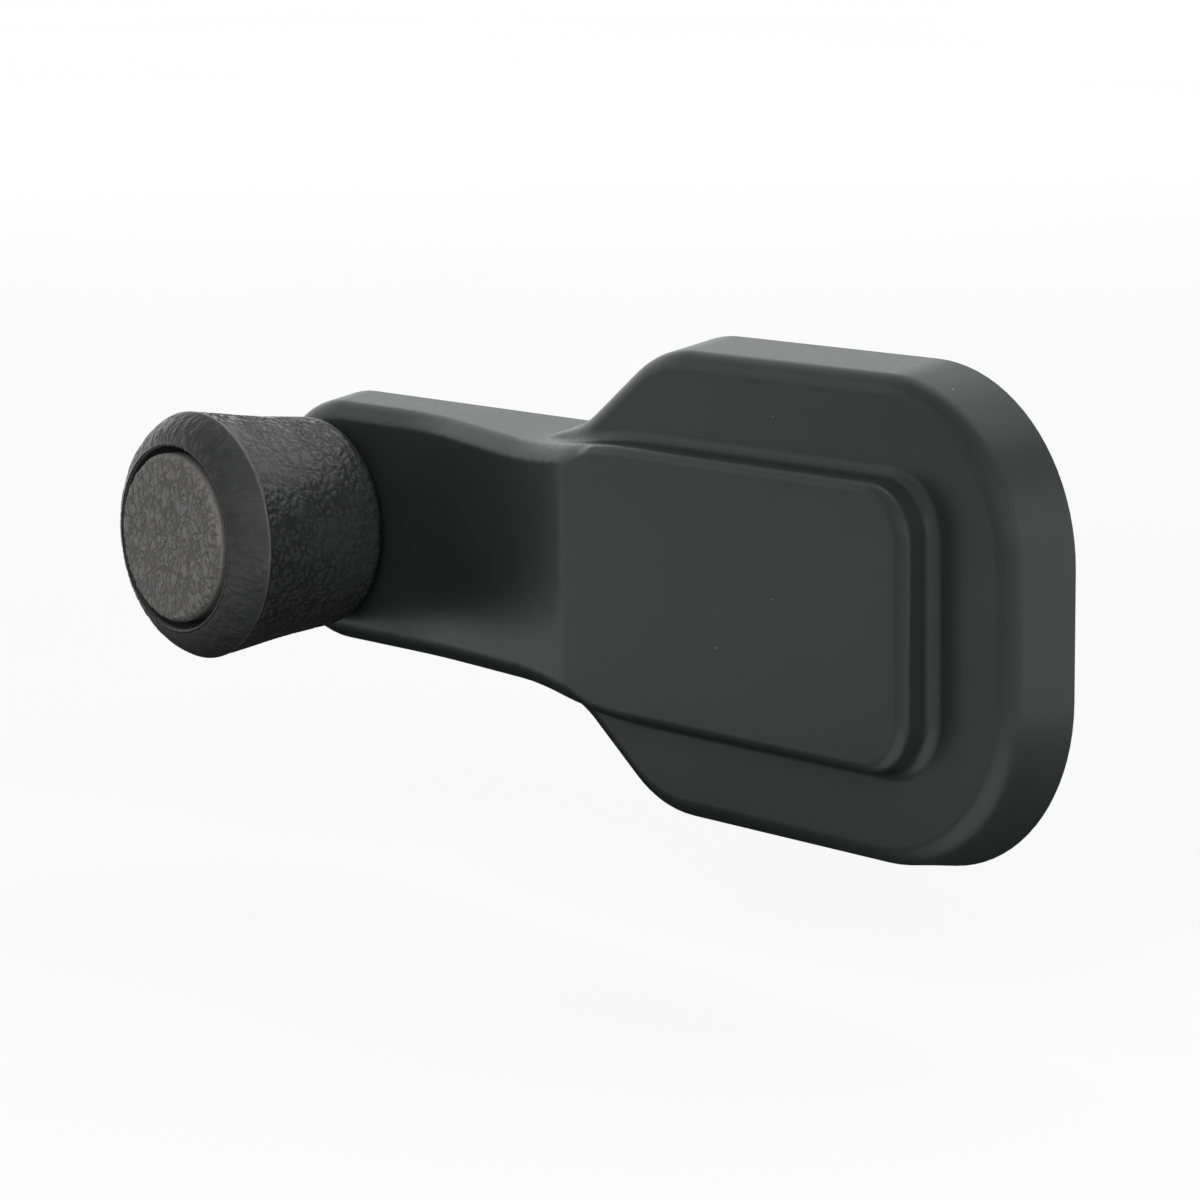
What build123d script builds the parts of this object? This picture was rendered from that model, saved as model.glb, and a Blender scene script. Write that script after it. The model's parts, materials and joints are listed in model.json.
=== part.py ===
from build123d import *
from math import cos, pi, sin
import os

# Window crank handle, in millimetres. It is modelled lying on its back: x runs along the arm
# (the knob is on the -x side), y runs across it and z runs out from the door. The last step
# stands it up, so that the front faces -Y and +Z is up.

# Main sizes
CRANK_RADIUS = 94.5
WALL = 2.2
CLEARANCE = 0.03
RUNNING_GAP = 0.05

# Base flange
BASE_HEIGHT = 54.8
BASE_REACH = 27.2
BASE_DEPTH = 8.5
BASE_DRAFT = 9.0
BASE_CORNER_R = 20.5
BASE_RIM_R = 2.4
SHOULDER_X = -30.6
SHOULDER_R = 16.5
SHOULDER_RUN = 13.7
NECK_RISE = 1.7
NECK_RUN = 8.7
NECK_SINK = 0.6
NECK_R = 14.0
COVE_R = 1.4

# Spine over the base, and the arm that it runs into
ARM_WIDTH = 31.2
ARM_FACE = 6.3
ARM_EDGE_R = 2.5
ARM_TAPER = 2.2
ARM_TAPER_X = -30.0
ARM_TAPER_RUN = 24.0
ARM_END_REACH = 14.1
SPINE_DEPTH = 13.0
SPINE_REACH = 14.9
SPINE_CORNER_R = 6.3
SPINE_EDGE_R = 1.4
CREST_X = -40.8
CREST_R = 24.0
CLIMB_START = 5.0
CLIMB_LIFT = 0.3
CLIMB_R = 7.0
CLIMB_RUN = 18.0
CLIMB_RISE = 15.0
RAMP_FOOT_RUN = 19.5
RAMP_FOOT_R = 60.0

# Lever
LEVER_THICKNESS = 2.5
LEVER_WIDTH = 19.0
LEVER_EYE_R = 11.4
LEVER_GAP = 0.2
LEVER_BEND_R = 12.0
BEAD_WIDTH = 5.0
BEAD_HEIGHT = 0.9
BEAD_X = -27.5
BEAD_LENGTH = 16.0

# Hub and its serrated socket
HUB_R = 9.0
HUB_EDGE = 0.6
HUB_SPIGOT_R = 7.0
HUB_FLATS = 11.6
HUB_STAKE = 0.7
HUB_STAKE_HEIGHT = 0.5
HUB_WEB = 1.6
PILOT_R = 5.1
PILOT_DEPTH = 2.2
SERRATION_TEETH = 28
SERRATION_MINOR_R = 4.05
SERRATION_DEPTH = 0.6

# Fixing screw
SCREW_R = 2.5
SCREW_HOLE_GAP = 0.2
SCREW_HEAD_R = 4.4
SCREW_HEAD_HEIGHT = 1.9
SCREW_HEAD_ROUND = 0.9
SCREW_TIP_ROUND = 0.4
SCREW_HEADROOM = 0.2
SCREW_TIP_GAP = 0.6
CROSS_WIDTH = 1.2
CROSS_LENGTH = 5.2
CROSS_DEPTH = 1.0

# Spindle and the pieces on it
SPINDLE_R = 3.5
SPINDLE_TAIL_R = 3.8
SPINDLE_RIVET_R = 5.2
SPINDLE_RIVET_HEIGHT = 1.0
SPINDLE_RIVET_ROUND = 0.7
SPINDLE_COLLAR_R = 5.6
SPINDLE_COLLAR_PROUD = 0.3
SPINDLE_HOLE_GAP = 0.4
SPINDLE_TIP = 1.3
SPINDLE_CHAMFER = 0.5
CLIP_GROOVE_DEPTH = 0.9
CLIP_R = 5.4
CLIP_BAND = 1.4
CLIP_TOOTH = 2.4
CLIP_THICKNESS = 0.8
WASHER_GAP = 0.15
THRUST_R = 8.0
THRUST_THICKNESS = 0.6
SPRING_R = 6.4
SPRING_THICKNESS = 0.4
SPRING_HEIGHT = 0.9
RETAINER_R = 6.6
RETAINER_THICKNESS = 0.6

# Knob
KNOB_GAP = 0.6
KNOB_BASE_EDGE_R = 2.2
KNOB_RIM_R = 15.0
KNOB_FLARE = 2.25
KNOB_RIM_DROP = 3.7
KNOB_RING_BULGE = 1.15
KNOB_RING_R = 6.5
KNOB_FLARE_SAG = 0.25
KNOB_FLARE_R = 90.0
KNOB_RING_WIDTH = 4.0
KNOB_MOUTH_RISE = 22.7
KNOB_MOUTH_EDGE_R = 0.4
KNOB_RECESS_GAP = 0.4
KNOB_RECESS_EDGE_R = 0.2
KNOB_LEDGE = 1.6
KNOB_POCKET_DEPTH = 7.25
BUSH_R = 5.5
BUSH_FLANGE_R = 7.6
BUSH_FLANGE = 1.1
CAP_GAP = 0.75
CAP_PROUD = 0.6
CAP_THICKNESS = 2.4
CAP_EDGE_R = 0.8
CAP_SKIRT = 1.2
CAP_SKIRT_GAP = 0.1
CAP_SKIRT_DEPTH = 2.6
CAP_SNAP = 0.25
CAP_SNAP_HEIGHT = 0.8
CAP_SNAP_RISE = 0.4

# Hooks, pads and ribs inside the cover
HOOK_X = (-14.0, -35.0)
HOOK_WIDTH = 6.0
HOOK_THICKNESS = 1.7
HOOK_GAP = 0.25
HOOK_NIB = 0.9
HOOK_NIB_HEIGHT = 1.0
HOOK_NIB_EDGE = 0.3
PAD_X = (-14.0, -24.5, -35.0)
PAD_LENGTH = 1.6
PAD_WIDTH = 3.4
PAD_INSET = 0.6
RIB_SHARES = (0.12, 0.5, 0.88)
RIB_THICKNESS = 1.4
RIB_SETBACK = 0.6

# Places and heights that follow from the sizes above
NECK_X = SHOULDER_X - SHOULDER_RUN
RAMP_FOOT_X = RAMP_FOOT_RUN - CRANK_RADIUS
KNOB_BASE_R = KNOB_RIM_R - KNOB_FLARE
KNOB_MOUTH_R = KNOB_RIM_R - KNOB_RING_WIDTH
HUB_TOP = SPINE_DEPTH - WALL - SCREW_HEADROOM - SCREW_HEAD_HEIGHT
LEVER_HUB_TOP = HUB_TOP - HUB_STAKE_HEIGHT
LEVER_HUB_Z = LEVER_HUB_TOP - LEVER_THICKNESS
LEVER_KNOB_TOP = ARM_FACE - WALL - LEVER_GAP
LEVER_KNOB_Z = LEVER_KNOB_TOP - LEVER_THICKNESS
COLLAR_TOP = ARM_FACE + SPINDLE_COLLAR_PROUD
THRUST_TOP = COLLAR_TOP + THRUST_THICKNESS
KNOB_Z = ARM_FACE + KNOB_GAP
BUSH_Z = THRUST_TOP + RUNNING_GAP
MOUTH_Z = KNOB_Z + KNOB_MOUTH_RISE
CAP_TOP = MOUTH_Z + CAP_PROUD
CAP_SEAT_Z = CAP_TOP - CAP_THICKNESS
POCKET_Z = CAP_SEAT_Z - KNOB_POCKET_DEPTH
FLANGE_TOP = POCKET_Z + BUSH_FLANGE
SPRING_Z = FLANGE_TOP + RUNNING_GAP
RETAINER_Z = SPRING_Z + SPRING_HEIGHT
CLIP_Z = RETAINER_Z + RETAINER_THICKNESS
SPINDLE_TOP = CLIP_Z + CLIP_THICKNESS + SPINDLE_TIP
SNAP_Z = CAP_SEAT_Z - CAP_SKIRT_DEPTH + CAP_SNAP_RISE
POCKET_R = KNOB_MOUTH_R - KNOB_LEDGE
GROOVE_R = SPINDLE_R - CLIP_GROOVE_DEPTH

KNOB_AXIS = Pos(-CRANK_RADIUS, 0, 0)
FAR = 45.0


def side_face(points, radii):
    """Closed outline in the x-z plane, with one corner radius for each point."""
    outline = make_face(FilletPolyline(*points, radius=radii, close=True))
    return Rot(90, 0, 0) * outline


def turned(points, radii=None):
    """Solid turned about the z axis from an outline of (radius, height) points."""
    if radii is None:
        radii = [0] * len(points)
    return revolve(side_face(points, radii), Axis.Z)


def ring(inner, outer, low, high):
    """Plain ring between two radii and two heights."""
    return turned([(inner, low), (outer, low), (outer, high), (inner, high)])


def flange_outline():
    """Outline of the base at the door, with the flanks that run into the arm."""
    top = BASE_HEIGHT / 2
    arm = ARM_WIDTH / 2
    tail_x = NECK_X - NECK_RUN
    upper = [
        (BASE_REACH, top),
        (SHOULDER_X, top),
        (NECK_X, arm + NECK_RISE),
        (tail_x, arm - NECK_SINK),
        (tail_x - NECK_SINK, arm / 2),
    ]
    lower = [(x, -y) for x, y in reversed(upper)]
    radii = [BASE_CORNER_R, SHOULDER_R, NECK_R, 0, 0]
    return make_face(FilletPolyline(*(upper + lower), radius=radii + radii[::-1], close=True))


def arm_profile(inset):
    """Side view of the arm: level under the knob, then the ramp that climbs past the spine."""
    face = ARM_FACE - inset
    crest = SPINE_DEPTH - inset
    left = -CRANK_RADIUS - FAR
    points = [
        (left, -1.0),
        (left, face),
        (RAMP_FOOT_X, face),
        (CREST_X, crest),
        (CREST_X + CLIMB_START, crest + CLIMB_LIFT),
        (CREST_X + CLIMB_RUN, crest + CLIMB_RISE),
        (FAR, crest + CLIMB_RISE),
        (FAR, -1.0),
    ]
    return side_face(points, [0, 0, RAMP_FOOT_R, CREST_R, CLIMB_R, 0, 0, 0])


def arm_plan(half, taper, reach, corner):
    """Plan of the spine and the arm, drawn in by the taper from the spine to the arm's rounded end."""
    end_x = ARM_WIDTH / 2 - ARM_END_REACH - CRANK_RADIUS
    slim_x = ARM_TAPER_X - ARM_TAPER_RUN
    slim = half - taper
    upper = Spline((ARM_TAPER_X, half), (slim_x, slim), tangents=[(-1, 0), (-1, 0)])
    lower = Spline((slim_x, -slim), (ARM_TAPER_X, -half), tangents=[(1, 0), (1, 0)])
    sides = [Line((slim_x, slim), (end_x, slim)), Line((end_x, -slim), (slim_x, -slim))]
    end = RadiusArc((end_x, slim), (end_x, -slim), -slim)
    points = [(ARM_TAPER_X, -half), (reach, -half), (reach, half), (ARM_TAPER_X, half)]
    front = FilletPolyline(*points, radius=corner)
    return make_face([upper, lower, end] + sides + front.edges())


def arm_block(half, reach, corner):
    """Tall block over that plan, with sides that slope in along the arm."""
    top = 2 * SPINE_DEPTH
    foot = arm_plan(half, 0, reach, corner)
    return loft([foot, Pos(0, 0, top) * arm_plan(half, 2 * ARM_TAPER, reach, corner)], ruled=True)


def ramp_body(inset):
    """Arm with sloping sides and rounded front edges, climbing on past the spine."""
    body = arm_block(ARM_WIDTH / 2 - inset + 0.02, FAR, SPINE_CORNER_R)
    body = body & extrude(arm_profile(inset), FAR, both=True)
    tops = [face for face in body.faces() if face.normal_at().Z > 0.6]
    walls = [face for face in body.faces() if abs(face.normal_at().Z) < 0.4]
    wall_edges = [edge for face in walls for edge in face.edges() if face.center().X < FAR - 1]
    rims = [e for face in tops for e in face.edges() if any(e.is_same(w) for w in wall_edges)]
    return fillet(rims, ARM_EDGE_R - inset)


def spine_block(inset):
    """Level block whose front is the raised face of the spine."""
    body = arm_block(ARM_WIDTH / 2 - inset, SPINE_REACH - inset, SPINE_CORNER_R - inset)
    depth = SPINE_DEPTH - inset
    body = body & Pos(-CRANK_RADIUS / 2, 0, depth / 2) * Box(4 * CRANK_RADIUS, 4 * ARM_WIDTH, depth)
    if inset < SPINE_EDGE_R:
        body = fillet(body.faces().sort_by(Axis.Z)[-1].edges(), SPINE_EDGE_R - inset)
    return body


def cover_outside():
    """Flange and spine as one skin, with a cove along the line where they meet."""
    flange = extrude(flange_outline(), BASE_DEPTH, taper=BASE_DRAFT)
    flange = fillet(flange.faces().sort_by(Axis.Z)[-1].edges(), BASE_RIM_R)
    body = flange + (ramp_body(0) & spine_block(0))
    fronts = body.faces().filter_by(Axis.Z)
    fronts = [face for face in fronts if abs(face.center().Z - BASE_DEPTH) < 0.001]
    edges = [edge for face in fronts for edge in face.edges()]
    near = [edge for edge in edges if abs(edge.center().Y) < ARM_WIDTH / 2 + 0.1]
    return fillet([edge for edge in near if edge.center().X < SPINE_REACH + 0.1], COVE_R)


def cover_hollow():
    """Space behind the skin, open at the back."""
    flange = extrude(offset(flange_outline(), -WALL), BASE_DEPTH - WALL, taper=BASE_DRAFT)
    return flange + (ramp_body(WALL) & spine_block(WALL))


def cover_hooks():
    """Snap hooks that reach down past the lever's edges and catch behind it."""
    near = LEVER_WIDTH / 2 + HOOK_GAP
    far = near + HOOK_THICKNESS
    top = SPINE_DEPTH - WALL / 2
    catch = LEVER_HUB_Z - RUNNING_GAP
    tip = catch - HOOK_NIB_HEIGHT
    points = [(near, top), (far, top), (far, tip), (near, tip), (near - HOOK_NIB, catch - HOOK_NIB_EDGE)]
    points += [(near - HOOK_NIB, catch), (near, catch)]
    profile = Plane.YZ * make_face(Polyline(*points, close=True))
    hook = extrude(profile, HOOK_WIDTH / 2, both=True)
    pair = [hook, mirror(hook, Plane.XZ)]
    return [Pos(x, 0, 0) * side for x in HOOK_X for side in pair]


def cover_pads():
    """Short ribs on the inside of the spine that press on the lever."""
    top = SPINE_DEPTH - WALL / 2
    height = top - LEVER_HUB_TOP
    place = LEVER_WIDTH / 2 - PAD_INSET - PAD_WIDTH / 2
    middle = LEVER_HUB_TOP + height / 2
    return [Pos(x, y, middle) * Box(PAD_LENGTH, PAD_WIDTH, height) for x in PAD_X for y in (place, -place)]


def cover_ribs():
    """Webs between the arm's side walls and the lever."""
    near = LEVER_WIDTH / 2 + HOOK_GAP
    far = ARM_WIDTH / 2 - WALL / 2
    web = Box(RIB_THICKNESS, far - near, SPINE_DEPTH, align=(Align.CENTER, Align.MIN, Align.MIN))
    places = [CREST_X + share * (RAMP_FOOT_X - CREST_X) for share in RIB_SHARES]
    upper = [Pos(x, near, RIB_SETBACK) * web for x in places]
    return upper + [mirror(rib, Plane.XZ) for rib in upper]


def crank_cover():
    """One moulded skin with an open back, hooks, pads, ribs and the spindle's hole."""
    outside = cover_outside()
    inner = Part() + (cover_hooks() + cover_pads() + cover_ribs())
    hole = KNOB_AXIS * Cylinder(SPINDLE_COLLAR_R + SPINDLE_HOLE_GAP, FAR)
    return outside - cover_hollow() + (inner & outside) - hole


def lever_side():
    """Side view of the pressed strip, stepped down from the hub to the knob."""
    right = LEVER_EYE_R + 1.0
    left = -CRANK_RADIUS - LEVER_WIDTH
    high = CREST_X + 1.0
    low = RAMP_FOOT_X + 2.0
    front = [(right, LEVER_HUB_TOP), (high, LEVER_HUB_TOP), (low, LEVER_KNOB_TOP), (left, LEVER_KNOB_TOP)]
    back = [(x, z - LEVER_THICKNESS) for x, z in reversed(front)]
    tight = LEVER_BEND_R - LEVER_THICKNESS
    return side_face(front + back, [0, LEVER_BEND_R, tight, 0, 0, LEVER_BEND_R, tight, 0])


def hub_spigot(grow):
    """Plan of the hub's spigot: a circle with two flats that keep it from turning."""
    return Circle(HUB_SPIGOT_R + grow) & Rectangle(4 * HUB_SPIGOT_R, HUB_FLATS + 2 * grow)


def crank_lever():
    """Pressed steel strip with an eye at each end and a stiffening bead."""
    strip = Pos(-CRANK_RADIUS / 2, 0) * Rectangle(CRANK_RADIUS, LEVER_WIDTH)
    plan = strip + Circle(LEVER_EYE_R) + KNOB_AXIS * Circle(LEVER_WIDTH / 2)
    corners = plan.vertices().filter_by(lambda v: -LEVER_EYE_R < v.X < 0)
    plan = fillet(corners, LEVER_BEND_R)
    body = extrude(plan, SPINE_DEPTH) & extrude(lever_side(), LEVER_WIDTH, both=True)
    bead = Pos(BEAD_X, 0) * SlotCenterToCenter(BEAD_LENGTH, BEAD_WIDTH)
    ridge = extrude(bead, BEAD_HEIGHT)
    ridge = fillet(ridge.faces().sort_by(Axis.Z)[-1].edges(), BEAD_HEIGHT / 2)
    body = body + Pos(0, 0, LEVER_HUB_TOP) * ridge
    body = body - Pos(0, 0, LEVER_HUB_Z) * ridge
    body = body - extrude(hub_spigot(CLEARANCE), SPINE_DEPTH)
    return body - KNOB_AXIS * Cylinder(SPINDLE_TAIL_R + CLEARANCE, FAR)


def serration():
    """Plan of the toothed socket: V-shaped spaces between narrow crests."""
    pitch = 2 * pi / SERRATION_TEETH
    points = []
    for tooth in range(SERRATION_TEETH):
        for radius, turn in [(0, -0.12), (0, 0.12), (SERRATION_DEPTH, 0.42), (SERRATION_DEPTH, 0.58)]:
            angle = (tooth + turn) * pitch
            reach = SERRATION_MINOR_R + radius
            points.append((reach * cos(angle), reach * sin(angle)))
    return make_face(Polyline(*points, close=True))


def spline_hub():
    """Turned boss with a plain pilot, the toothed socket behind it and a web for the screw."""
    boss = turned(
        [(0, 0), (HUB_R, 0), (HUB_R, LEVER_HUB_Z), (0, LEVER_HUB_Z)],
        [0, HUB_EDGE, 0, 0],
    )
    spigot = Pos(0, 0, LEVER_HUB_Z) * extrude(hub_spigot(0), LEVER_THICKNESS)
    wide = HUB_SPIGOT_R + HUB_STAKE
    stake = turned([(0, LEVER_HUB_TOP), (wide, LEVER_HUB_TOP), (HUB_SPIGOT_R, HUB_TOP), (0, HUB_TOP)])
    web_z = HUB_TOP - HUB_WEB
    pilot = ring(0, PILOT_R, -1, PILOT_DEPTH)
    socket = Pos(0, 0, PILOT_DEPTH) * extrude(serration(), web_z - PILOT_DEPTH)
    hole = ring(0, SCREW_R + SCREW_HOLE_GAP, 0, SPINE_DEPTH)
    return boss + spigot + stake - pilot - socket - hole


def fixing_screw():
    """Low pan head screw with a cross recess, its tip short of the pilot."""
    top = HUB_TOP + SCREW_HEAD_HEIGHT
    tip = PILOT_DEPTH + SCREW_TIP_GAP
    body = turned(
        [(0, tip), (SCREW_R, tip), (SCREW_R, HUB_TOP), (SCREW_HEAD_R, HUB_TOP), (SCREW_HEAD_R, top), (0, top)],
        [0, SCREW_TIP_ROUND, 0, 0, SCREW_HEAD_ROUND, 0],
    )
    bar = Rectangle(CROSS_LENGTH, CROSS_WIDTH)
    cross = bar + Rot(0, 0, 90) * bar
    return body - Pos(0, 0, top - CROSS_DEPTH) * extrude(cross, 2 * CROSS_DEPTH)


def knob_spindle():
    """Shouldered pin: riveted tail, collar through the cover, journal and clip groove."""
    rivet_z = LEVER_KNOB_Z - SPINDLE_RIVET_HEIGHT
    groove_top = CLIP_Z + CLIP_THICKNESS + CLEARANCE
    points = [
        (0, rivet_z),
        (SPINDLE_RIVET_R, rivet_z),
        (SPINDLE_RIVET_R, LEVER_KNOB_Z),
        (SPINDLE_TAIL_R, LEVER_KNOB_Z),
        (SPINDLE_TAIL_R, LEVER_KNOB_TOP),
        (SPINDLE_COLLAR_R, LEVER_KNOB_TOP),
        (SPINDLE_COLLAR_R, COLLAR_TOP),
        (SPINDLE_R, COLLAR_TOP),
        (SPINDLE_R, CLIP_Z - CLEARANCE),
        (GROOVE_R, CLIP_Z - CLEARANCE),
        (GROOVE_R, groove_top),
        (SPINDLE_R, groove_top),
        (SPINDLE_R, SPINDLE_TOP - SPINDLE_CHAMFER),
        (SPINDLE_R - SPINDLE_CHAMFER, SPINDLE_TOP),
        (0, SPINDLE_TOP),
    ]
    radii = [0] * len(points)
    radii[1] = SPINDLE_RIVET_ROUND
    return KNOB_AXIS * turned(points, radii)


def thrust_washer():
    """Flat washer between the spindle's collar and the bush."""
    return KNOB_AXIS * ring(SPINDLE_R + WASHER_GAP, THRUST_R, COLLAR_TOP, THRUST_TOP)


def spring_washer():
    """Cone-shaped washer that keeps the knob from rattling."""
    inner = SPINDLE_R + WASHER_GAP
    low = [(SPRING_R, SPRING_Z), (SPRING_R, SPRING_Z + SPRING_THICKNESS)]
    high = [(inner, RETAINER_Z), (inner, RETAINER_Z - SPRING_THICKNESS)]
    return KNOB_AXIS * turned(low + high)


def retainer_washer():
    """Flat washer between the spring washer and the clip."""
    top = RETAINER_Z + RETAINER_THICKNESS
    return KNOB_AXIS * ring(SPINDLE_R + WASHER_GAP, RETAINER_R, RETAINER_Z, top)


def retaining_clip():
    """Clip with three teeth that grip the groove, and a mouth to push it on."""
    inner = CLIP_R - CLIP_BAND
    seat = GROOVE_R + CLEARANCE
    plan = Circle(CLIP_R) - Circle(inner)
    tooth = Pos((inner + seat) / 2 + 0.2, 0) * Rectangle(inner - seat + 1.0, CLIP_TOOTH)
    plan = plan + [Rot(0, 0, turn) * tooth for turn in (-15, 90, 195)]
    plan = plan - Circle(seat)
    plan = plan - Pos(0, -CLIP_R) * Rectangle(2 * seat * 0.95, CLIP_R)
    return KNOB_AXIS * Pos(0, 0, CLIP_Z) * extrude(plan, CLIP_THICKNESS)


def knob_bush():
    """Flanged sleeve pressed into the grip, running on the spindle."""
    inner = SPINDLE_R + RUNNING_GAP
    points = [
        (inner, BUSH_Z),
        (BUSH_R, BUSH_Z),
        (BUSH_R, POCKET_Z),
        (BUSH_FLANGE_R, POCKET_Z),
        (BUSH_FLANGE_R, FLANGE_TOP),
        (inner, FLANGE_TOP),
    ]
    return KNOB_AXIS * turned(points)


def knob_grip():
    """Flared grip: recess for the thrust washer behind, pocket and seat for the cap in front."""
    recess = THRUST_R + KNOB_RECESS_GAP
    bore = BUSH_R + CLEARANCE
    rim_z = MOUTH_Z - KNOB_RIM_DROP
    flare = (KNOB_BASE_R + KNOB_RIM_R) / 2 - KNOB_FLARE_SAG
    bulge = 0.7 * KNOB_RING_BULGE
    snap_r = POCKET_R + CAP_SNAP + CAP_SKIRT_GAP
    corners = [
        (bore, BUSH_Z, 0),
        (recess, BUSH_Z, 0),
        (recess, KNOB_Z, KNOB_RECESS_EDGE_R),
        (KNOB_BASE_R, KNOB_Z, KNOB_BASE_EDGE_R),
        (flare, (KNOB_Z + rim_z) / 2, KNOB_FLARE_R),
        (KNOB_RIM_R, rim_z, 0),
        ((KNOB_RIM_R + KNOB_MOUTH_R) / 2 + bulge, (rim_z + MOUTH_Z) / 2 + bulge, KNOB_RING_R),
        (KNOB_MOUTH_R, MOUTH_Z, KNOB_MOUTH_EDGE_R),
        (KNOB_MOUTH_R, CAP_SEAT_Z, 0),
        (POCKET_R, CAP_SEAT_Z, 0),
        (POCKET_R, SNAP_Z + CAP_SNAP_HEIGHT + CAP_SKIRT_GAP, 0),
        (snap_r, SNAP_Z + CAP_SNAP_HEIGHT / 2, 0),
        (POCKET_R, SNAP_Z - CAP_SKIRT_GAP, 0),
        (POCKET_R, POCKET_Z, 0),
        (bore, POCKET_Z, 0),
    ]
    points = [(radius, height) for radius, height, corner in corners]
    return KNOB_AXIS * turned(points, [corner for radius, height, corner in corners])


def knob_cap():
    """Disc with a rounded edge and a skirt that snaps into the grip's pocket."""
    outer = KNOB_MOUTH_R - CAP_GAP
    skirt = POCKET_R - CAP_SKIRT_GAP
    foot = CAP_SEAT_Z - CAP_SKIRT_DEPTH
    points = [
        (0, CAP_SEAT_Z),
        (skirt - CAP_SKIRT, CAP_SEAT_Z),
        (skirt - CAP_SKIRT, foot),
        (skirt, foot),
        (skirt, SNAP_Z),
        (skirt + CAP_SNAP, SNAP_Z + CAP_SNAP_HEIGHT / 2),
        (skirt, SNAP_Z + CAP_SNAP_HEIGHT),
        (skirt, CAP_SEAT_Z),
        (outer, CAP_SEAT_Z),
        (outer, CAP_TOP),
        (0, CAP_TOP),
    ]
    return KNOB_AXIS * turned(points, [0, 0, 0, 0, 0, 0, 0, 0, 0, CAP_EDGE_R, 0])


pieces = {
    "crank_cover": crank_cover(),
    "crank_lever": crank_lever(),
    "spline_hub": spline_hub(),
    "fixing_screw": fixing_screw(),
    "knob_spindle": knob_spindle(),
    "thrust_washer": thrust_washer(),
    "spring_washer": spring_washer(),
    "retainer_washer": retainer_washer(),
    "retaining_clip": retaining_clip(),
    "knob_bush": knob_bush(),
    "knob_grip": knob_grip(),
    "knob_cap": knob_cap(),
}

os.makedirs("parts", exist_ok=True)
for name, shape in pieces.items():
    export_step(Rot(90, 0, 0) * shape, "parts/" + name + ".step")
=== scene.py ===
import json
from math import atan2, cos, pi, radians, sin, tan

import bmesh
import bpy
from mathutils import Matrix, Vector


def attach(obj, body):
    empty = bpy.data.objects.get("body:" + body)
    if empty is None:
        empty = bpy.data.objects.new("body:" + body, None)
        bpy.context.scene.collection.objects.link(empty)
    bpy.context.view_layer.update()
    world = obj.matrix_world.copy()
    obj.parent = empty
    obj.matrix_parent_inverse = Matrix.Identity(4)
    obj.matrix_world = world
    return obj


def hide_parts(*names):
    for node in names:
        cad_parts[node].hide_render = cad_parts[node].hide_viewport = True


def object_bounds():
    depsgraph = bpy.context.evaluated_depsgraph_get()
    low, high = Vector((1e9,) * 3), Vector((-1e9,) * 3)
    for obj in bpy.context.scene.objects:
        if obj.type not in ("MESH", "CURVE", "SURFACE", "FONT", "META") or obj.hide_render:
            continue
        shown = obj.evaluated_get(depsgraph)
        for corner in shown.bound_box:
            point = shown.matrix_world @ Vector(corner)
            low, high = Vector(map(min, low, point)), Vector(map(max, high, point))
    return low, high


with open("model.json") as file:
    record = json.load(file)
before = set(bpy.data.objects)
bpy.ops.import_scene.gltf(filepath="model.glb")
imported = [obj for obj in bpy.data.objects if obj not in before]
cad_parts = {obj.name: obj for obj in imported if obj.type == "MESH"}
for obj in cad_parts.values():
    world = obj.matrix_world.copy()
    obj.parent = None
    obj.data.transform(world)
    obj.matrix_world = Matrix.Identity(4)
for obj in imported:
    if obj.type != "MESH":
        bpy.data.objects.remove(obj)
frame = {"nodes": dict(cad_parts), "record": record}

CAD_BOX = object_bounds()
MM = 0.001

# Camera, as the photograph was taken
CAMERA_PLACE = Vector((0.33691, -0.32126, 0.07706))
CAMERA_AIM = Vector((-0.02404, -0.02133, 0.00007))
CAMERA_ROLL = radians(-0.42)
CAMERA_LENS = 130.49
CAMERA_SENSOR = 36.0
CAMERA_CLIP_START = 0.01

# Knob, in millimetres; it turns about its joint's line along Y, and heights run along -Y from the door plane
KNOB_JOINT = frame["record"]["behaviour"]["joints"][0]
CRANK_RADIUS = -KNOB_JOINT["pos_m"][0] / MM
KNOB_BASE_Z = 6.9
KNOB_BASE_EDGE_R = 2.2
KNOB_RIM_R = 15.0
KNOB_RIM_DROP = 3.7
KNOB_FLARE = 2.25
KNOB_FLARE_R = 90.0
KNOB_FLARE_SAG = 0.25
KNOB_RING_WIDTH = 4.0
KNOB_RING_BULGE = 0.805
KNOB_RING_R = 6.5
KNOB_MOUTH_RISE = 22.7
KNOB_MOUTH_EDGE_R = 0.4
KNOB_LEDGE = 1.6
KNOB_POCKET_DEPTH = 7.25
RECESS_R = 8.4
RECESS_DEPTH = 0.35
RECESS_EDGE_R = 0.2
BORE_R = 5.53
CAP_GAP = 0.75
CAP_PROUD = 0.6
CAP_THICKNESS = 2.4
CAP_EDGE_R = 0.8
CAP_SKIRT_GAP = 0.1
CAP_SKIRT_WALL = 1.2
CAP_SKIRT_DEPTH = 2.6

# Radii and heights worked out from them
KNOB_BASE_R = KNOB_RIM_R - KNOB_FLARE
KNOB_MOUTH_R = KNOB_RIM_R - KNOB_RING_WIDTH
KNOB_MOUTH_Z = KNOB_BASE_Z + KNOB_MOUTH_RISE
KNOB_RIM_Z = KNOB_MOUTH_Z - KNOB_RIM_DROP
RECESS_Z = KNOB_BASE_Z + RECESS_DEPTH
CAP_R = KNOB_MOUTH_R - CAP_GAP
CAP_TOP_Z = KNOB_MOUTH_Z + CAP_PROUD
CAP_SEAT_Z = CAP_TOP_Z - CAP_THICKNESS
POCKET_R = KNOB_MOUTH_R - KNOB_LEDGE
POCKET_Z = CAP_SEAT_Z - KNOB_POCKET_DEPTH
CAP_SKIRT_R = POCKET_R - CAP_SKIRT_GAP
CAP_SKIRT_Z = CAP_SEAT_Z - CAP_SKIRT_DEPTH

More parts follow.
